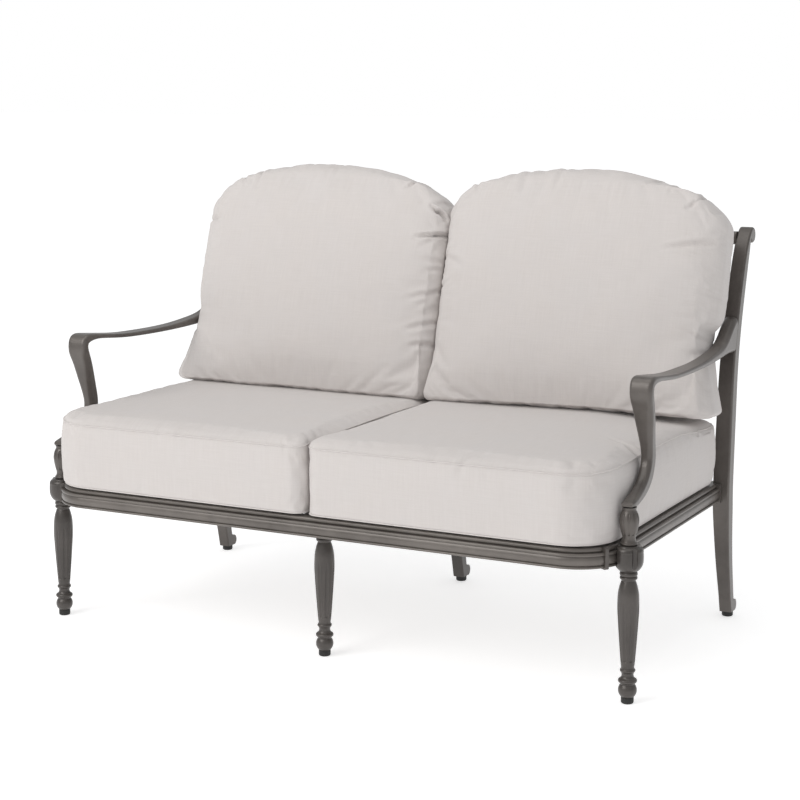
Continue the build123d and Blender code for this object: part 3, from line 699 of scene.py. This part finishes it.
def shape_seat(side, seed, folds):
    """One seat cushion, from its flat panels to its creased and seamed cover."""
    name = "right" if side > 0 else "left"
    radii, top, bottom, band, across, along = seat_panels(side)
    cut = top[..., :2] + side * seat_cloth_start
    cover, hoops = cushion_shell(f"seat_cover_{name}", top, bottom, band, cut,
                                 cut + seat_under_cloth)
    count = across.size
    held = np.zeros(len(cover.data.vertices))
    held[count:2 * count] = (np.maximum(np.abs(across), np.abs(along)).ravel() < 0.93)
    held[hoops[0]] = held[hoops[-1]] = 1
    reach = np.full(len(held), seat_panel_reach)
    reach[2 * count:] = seat_band_reach
    points = inflate(cover, held, seat_pressure, seat_shrink, reach)
    move_points(cover, points)
    refine(cover, hoops, seat_seam_sharp)
    points, normal = points_of(cover), outward_of(cover)
    upper = np.clip((points[:, 2] - seat_low_seam) / (seat_top_seam - seat_low_seam), 0, 1)
    height = crumple(points, seed, 0.0012, 0.24) * upper
    height += crumple(points, seed + 1, 0.0010, 0.10) * np.sin(pi * np.clip(upper, 0.02, 0.9))
    for path, width, depth in folds:
        height += tuck(points, normal, path, width, depth)
    points = points + normal * height[:, None]
    local_x, local_y = points[:, 0] - side * seat_middle_x, points[:, 1] - seat_middle_y
    depth, out_x, out_y = outline_depth(local_x, local_y, seat_half_x, seat_half_y, radii)
    lid = seat_lid(*points[:, :2].T, -depth, side)
    bulge = seat_bulge(*points.T, side)
    shift = (soft_least(depth, -0.0002, 0.0010) - depth + bulge * ease(depth, -0.05, -0.004)) * (
        depth > -0.05)
    points[:, 0] += out_x * shift
    points[:, 1] += out_y * shift * ~((out_y > 0) & (points[:, 1] > 0.2))
    excess = np.minimum(soft_least(points[:, 2], lid, 0.0012) - points[:, 2], 0)
    points[:, 2] += excess * ease(points[:, 2], seat_low_seam, seat_top_seam - 0.02)
    points[:, 2] = np.maximum(points[:, 2], seat_foot)
    move_points(cover, points)
    normal = outward_of(cover)
    body = f"seat_cushion_{name}"
    for label, hoop in (("top", hoops[0]), ("low", hoops[-1])):
        seam_rib(f"seat_{label}_seam_{name}", points[hoop] + normal[hoop] * 0.0003,
                 normal[hoop], seat_rib, body)
    dress_cover(cover, body)


def edge_puckers(side, seed, count):
    """Small folds that cross the top seam at chance places all round a seat cushion."""
    draw = np.random.default_rng(seed)
    radii = seat_radii(side)
    folds = []
    for _ in range(count):
        turn, slant = draw.uniform(0, 2 * pi), draw.uniform(-0.02, 0.02)
        stretch = 1 / max(abs(cos(turn)), abs(sin(turn)))
        spots = []
        for pull, level in ((0.86 + draw.uniform(0, 0.08), 0.456), (1.0, 0.438), (1.0, 0.405)):
            x, y = round_corners(np.array([cos(turn) * stretch * pull]),
                                 np.array([sin(turn) * stretch * pull]), seat_half_x, seat_half_y,
                                 radii)
            spots.append((float(x[0]) + side * seat_middle_x + slant * (1 - pull) * 4,
                          float(y[0]) + seat_middle_y, level))
        folds.append((spots, draw.uniform(0.005, 0.009), draw.uniform(0.0006, 0.0017)))
    return folds


# The creases of each seat cushion: the points of the path, the width and the depth.
seat_folds = {
    1: [([(0.618, -0.226, 0.420), (0.606, -0.216, 0.444), (0.551, -0.164, 0.456),
          (0.522, -0.136, 0.457)], 0.008, 0.0055),
        ([(0.618, -0.190, 0.425), (0.600, -0.180, 0.450), (0.570, -0.170, 0.456)], 0.007, 0.003),
        ([(0.621, 0.060, 0.400), (0.612, 0.070, 0.440), (0.560, 0.090, 0.450)], 0.009, 0.0030),
        ([(0.621, 0.125, 0.395), (0.610, 0.130, 0.436), (0.575, 0.120, 0.448)], 0.008, 0.0026),
        ([(0.330, -0.423, 0.400), (0.345, -0.410, 0.445), (0.380, -0.370, 0.457)], 0.008, 0.0024),
        ([(0.560, -0.410, 0.405), (0.548, -0.385, 0.448), (0.500, -0.350, 0.457)], 0.012, 0.0014),
        ([(0.010, -0.415, 0.400), (0.022, -0.400, 0.442), (0.060, -0.370, 0.456)], 0.010, 0.0014)],
    -1: [([(-0.618, -0.200, 0.420), (-0.600, -0.190, 0.446), (-0.560, -0.150, 0.456)],
          0.008, 0.0036),
         ([(-0.020, -0.420, 0.405), (-0.030, -0.400, 0.446), (-0.075, -0.365, 0.457)],
          0.011, 0.0014),
         ([(-0.560, -0.405, 0.400), (-0.548, -0.385, 0.446), (-0.500, -0.345, 0.457)],
          0.012, 0.0016),
         ([(-0.300, -0.423, 0.405), (-0.292, -0.410, 0.446), (-0.262, -0.375, 0.457)],
          0.009, 0.0022)],
}
for side, seed in ((1, 11), (-1, 23)):
    shape_seat(side, seed, seat_folds[side] + edge_puckers(side, seed + 5, 16))

# Back cushions
# Fibre-filled pillows with a boxing band, thick at the foot and thinner at the domed top,
# whose cover is gathered at the upper corners. They lean on the spindles and are loose.
lean = radians(15.5)
lean_up = np.array([0.0, sin(lean), cos(lean)])
lean_out = np.array([0.0, -cos(lean), sin(lean)])
back_root = np.array([0.0, 0.24834, 0.4383])
back_half_x = 0.30725
back_middle_x = 0.30875
back_half_v = 0.24
back_inner = 0.0017
back_outer = 0.6160
back_waist = 0.6182
back_rear_seam = 0.020
back_pressure = 4.5
back_shrink = -0.02
back_panel_reach = 0.010
back_band_reach = 0.004
back_seam_sharp = 0.04
back_cloth_start = 0.7
back_under_cloth = 2.1
back_band_rows = 20
back_rib = 0.0011
foot_flare = 0.038
arm_wing = 0.020
front_turn = 0.022
rear_turn = 0.012
# How far the fullest front stands out of the back, by the height up the lean.
face_heights = [-0.06, -0.03, -0.01, 0.01, 0.045, 0.12, 0.20, 0.30, 0.38, 0.44, 0.48, 0.50, 0.52]
face_depths = [0.134, 0.148, 0.161, 0.170, 0.175, 0.175, 0.172, 0.165, 0.157, 0.147, 0.132, 0.116,
               0.080]


def foot_line(x, out):
    """Height up the lean of the line that the foot stands on: a level plane, lower under
    the left cushion and at the inner end of the right one, where the seats have sunk."""
    sunk = np.where(x < 0, 0.0058, 0.0040 - 0.0085 * np.clip(x / 0.6, 0, 1))
    return 0.0112 - 0.22417 * out - sunk


def pillow_place(x, v, out):
    """From across, up the lean and out of the back to the furniture's own axes."""
    return (back_root + x[..., None] * np.array([1.0, 0.0, 0.0]) + v[..., None] * lean_up
            + out[..., None] * lean_out)


def pillow_axes(points):
    """From the furniture's own axes to across, up the lean and out of the back."""
    from_root = points - back_root
    return from_root[:, 0], from_root @ lean_up, from_root @ lean_out


def outer_edge(v, out):
    """Where the outer side stands: a waist beside the arm, plus a flare that grows as a power
    of the depth below it towards the foot, plus a wing that eases out past the post above the
    arm and back in towards the front."""
    flare = foot_flare * (1 - np.clip(v / 0.15, 0, 1)) ** 1.15 * ease(out, 0.0, 0.06)
    above_arm = v - 0.160 - 0.9 * np.maximum(0.07 - out, 0)
    wing = arm_wing * ease(above_arm, 0, 0.040) * ease(out, 0.0, 0.03) * (1 - ease(out, 0.09, 0.14))
    return back_waist + flare * (1 - 0.5 * ease(out, 0.12, 0.15)) + wing


def front_seam_out(share):
    """Distance out of the front seam: deep at the foot and a little less at the top."""
    return 0.143 + 0.010 * (1 - ease(share, 0, 0.25)) - 0.017 * ease(share, 0.55, 1.0)


def pillow_outline(side, across, along, part, out):
    """Outline at one part of the band, 0 at the front seam and 1 at the rear one. The front
    outline is squarer and the rear one rounder, with a higher dome that falls away as a power
    of the distance across, fuller on the viewer's left. Both seams stand inside the fullest
    part of the band, which turns to the front on a quarter ellipse, or on a flatter facet at
    the left cushion's inner side. Returns across and up the lean."""
    turned = 0.97 * (1 - np.clip(part / 0.22, 0, 1))
    facet = ease(-side * across, 0.7, 1.0) * (side < 0)
    inset = front_turn * ((1 - facet) * (1 - np.sqrt(1 - turned ** 2)) + facet * turned ** 1.4)
    inset = inset * (0.35 + 0.65 * ease(along, -1, -0.5))
    inset = inset + rear_turn * ease(part, 0.62, 1)
    rolled = np.sqrt(1 - (1 - np.clip(part / 0.55, 0, 1)) ** 2)
    arc = 0.066 - 0.024 * rolled
    square = 0.024 if side > 0 else 0.034
    dome = square + (0.088 - square) * rolled
    top = 0.484 + (0.029 if side > 0 else 0.026) * rolled - 0.010 * ease(part, 0.6, 1)
    half = back_half_x - inset
    x, v = round_corners(across, along, half, back_half_v, np.array([[0.016, 0.016], [arc, arc]]))
    share = (v / back_half_v + 1) / 2
    low = foot_line(x + side * back_middle_x, out) + 0.012 * (1 - np.sqrt(1 - turned ** 2))
    v = low + share * (top - dome - low)
    power = 2.0 + (1.1 if side > 0 else 0.6) * (1 - ease(x / half, -0.4, 0.1))
    v = v + dome * (1 - np.minimum(np.abs(x) / half, 1) ** power) * share ** 3
    outer = np.clip(x * side / half, 0, 1) ** 5
    x = x + side * (outer_edge(v, out) - back_outer) * outer
    return x + side * back_middle_x, v


def pillow_panels(side):
    """Start shape: a front panel swollen over its seam, a flat back panel and a band whose
    middle stands outside its seams."""
    across, along = np.meshgrid(edge_spaced(84), edge_spaced(74))
    share = (along + 1) / 2
    swell = (1 - np.abs(across) ** 2.4) * (1 - np.abs(along) ** 4.0)
    seam_out = front_seam_out(share)
    front_x, front_v = pillow_outline(side, across, along, 0.0, seam_out)
    full = np.interp(front_v, face_heights, face_depths)
    front = pillow_place(front_x, front_v, seam_out + (full - seam_out) * swell * 0.92)
    rear_out = np.full_like(share, back_rear_seam)
    rear_x, rear_v = pillow_outline(side, across, along, 1.0, rear_out)
    rear = pillow_place(rear_x, rear_v, rear_out - 0.018 * swell ** 0.5)
    rim_across, rim_along = edge_loop(across), edge_loop(along)
    seam_out = front_seam_out((rim_along + 1) / 2)
    rows = []
    for part in np.linspace(0, 1, back_band_rows + 2)[1:-1] ** 1.3:
        out = seam_out * (1 - part) + back_rear_seam * part
        rows.append(pillow_place(*pillow_outline(side, rim_across, rim_along, part, out), out))
    return front, rear, np.array(rows), across, (front_x, front_v), (rear_x, rear_v)


def shape_pillow(side, seed, folds):
    """One back cushion, from its panels to its gathered and seamed cover."""
    name = "right" if side > 0 else "left"
    front, rear, band, across, front_cut, rear_cut = pillow_panels(side)
    cover, hoops = cushion_shell(f"back_cover_{name}", front, rear, band,
                                 np.stack(front_cut, -1) + side * back_cloth_start,
                                 np.stack(rear_cut, -1) + back_under_cloth)
    count = across.size
    held = np.zeros(len(cover.data.vertices))
    held[count:2 * count] = 1
    held[hoops[0]] = held[hoops[-1]] = 1
    reach = np.full(len(held), back_panel_reach)
    reach[2 * count:] = back_band_reach
    points = inflate(cover, held, back_pressure, back_shrink, reach)
    move_points(cover, points)
    refine(cover, hoops, back_seam_sharp)
    points, normal = points_of(cover), outward_of(cover)
    front_share = ease(pillow_axes(points)[2], 0.02, 0.10)
    height = crumple(points, seed, 0.0036, 0.42) * front_share
    height += crumple(points, seed + 1, 0.0012, 0.13) * front_share
    for path, width, depth in folds:
        spots = np.array(path)
        height += tuck(points, normal, pillow_place(spots[:, 0], spots[:, 1], spots[:, 2]), width,
                       depth)
    points = points + normal * height[:, None]
    v, out = pillow_axes(points)[1:]
    full = np.interp(v, face_heights, face_depths) + 0.004
    points += ((soft_least(out, full, 0.003) - out) * (out > 0.09))[:, None] * lean_out
    points += np.maximum(0.0006 - out, 0)[:, None] * lean_out
    x, v, out = pillow_axes(points)
    points += np.maximum(foot_line(x, out) + 0.0002 - v, 0)[:, None] * lean_up
    outward = soft_least(points[:, 0] * side, outer_edge(v, out) + 0.0012, 0.001)
    points[:, 0] = side * np.maximum(outward, back_inner)
    move_points(cover, points)
    normal = outward_of(cover)
    body = f"back_cushion_{name}"
    rear_seam = hoops[-1]
    seam_rib(f"back_rear_seam_{name}", points[rear_seam] - normal[rear_seam] * 0.0003,
             normal[rear_seam], back_rib, body)
    dress_cover(cover, body)


def side_tucks(side, seed, count):
    """Small folds that cross the side and top edges of a pillow at chance places."""
    draw = np.random.default_rng(seed)
    folds = []
    for _ in range(count):
        v, slant = draw.uniform(0.05, 0.43), draw.uniform(-0.03, 0.03)
        edge = (back_outer, back_inner)[int(draw.uniform() < 0.6)]
        run = draw.uniform(0.020, 0.050) * (1 if edge < 0.3 else -1)
        folds.append(([(side * (edge + run), v + slant, 0.155),
                       (side * (edge + run * 0.2), v, 0.135), (side * edge, v - slant * 0.4, 0.07)],
                      draw.uniform(0.005, 0.009), draw.uniform(0.0012, 0.0030)))
    for _ in range(count // 2):
        x, slant = draw.uniform(0.05, 0.57), draw.uniform(-0.05, 0.05)
        folds.append(([(side * (x + slant * 0.5), 0.45, 0.14), (side * x, 0.49, 0.11),
                       (side * (x - slant * 0.3), 0.51, 0.05)],
                      draw.uniform(0.006, 0.010), draw.uniform(0.0012, 0.0028)))
    return folds


# The creases of each back cushion, with their points across, up the lean and out of the back.
pillow_folds = {
    -1: [([(-0.040, 0.412, 0.145), (-0.022, 0.404, 0.140), (-0.010, 0.396, 0.128),
           (-0.003, 0.384, 0.115)], 0.0050, 0.0140),
         ([(-0.060, 0.338, 0.156), (-0.036, 0.342, 0.148), (-0.010, 0.347, 0.125),
           (-0.002, 0.352, 0.070)], 0.0048, 0.0105),
         ([(-0.108, 0.452, 0.136), (-0.095, 0.463, 0.122), (-0.078, 0.468, 0.105),
           (-0.060, 0.464, 0.070)], 0.0048, 0.0080),
         ([(-0.062, 0.196, 0.155), (-0.030, 0.207, 0.14), (-0.004, 0.232, 0.07)], 0.007, 0.0048),
         ([(-0.058, 0.126, 0.155), (-0.030, 0.138, 0.14), (-0.004, 0.160, 0.07)], 0.007, 0.0042),
         ([(-0.050, 0.088, 0.155), (-0.022, 0.100, 0.13), (-0.004, 0.104, 0.06)], 0.007, 0.0036),
         ([(-0.628, 0.360, 0.07), (-0.618, 0.366, 0.13), (-0.590, 0.362, 0.150)], 0.006, 0.0050),
         ([(-0.545, 0.480, 0.08), (-0.538, 0.458, 0.12), (-0.528, 0.438, 0.14)], 0.006, 0.0045),
         ([(-0.500, 0.500, 0.06), (-0.500, 0.480, 0.11), (-0.496, 0.446, 0.14)], 0.006, 0.0055)],
    1: [([(0.455, 0.470, 0.12), (0.480, 0.482, 0.09), (0.512, 0.482, 0.05)], 0.0060, 0.0050),
        ([(0.512, 0.455, 0.125), (0.522, 0.468, 0.10), (0.526, 0.482, 0.05)], 0.0055, 0.0060),
        ([(0.556, 0.425, 0.125), (0.574, 0.437, 0.10), (0.590, 0.445, 0.05)], 0.006, 0.0065),
        ([(0.520, 0.334, 0.160), (0.550, 0.340, 0.155), (0.598, 0.352, 0.13), (0.630, 0.364, 0.06)],
         0.0065, 0.0055),
        ([(0.075, 0.450, 0.135), (0.058, 0.468, 0.11), (0.045, 0.480, 0.05)], 0.006, 0.0045),
        ([(0.606, 0.248, 0.14), (0.620, 0.244, 0.10), (0.626, 0.240, 0.05)], 0.007, 0.0040),
        ([(0.008, 0.300, 0.12), (0.030, 0.290, 0.15), (0.070, 0.270, 0.165)], 0.009, 0.0024)],
}
for side, seed in ((1, 31), (-1, 47)):
    shape_pillow(side, seed, pillow_folds[side] + side_tucks(side, seed + 5, 7))
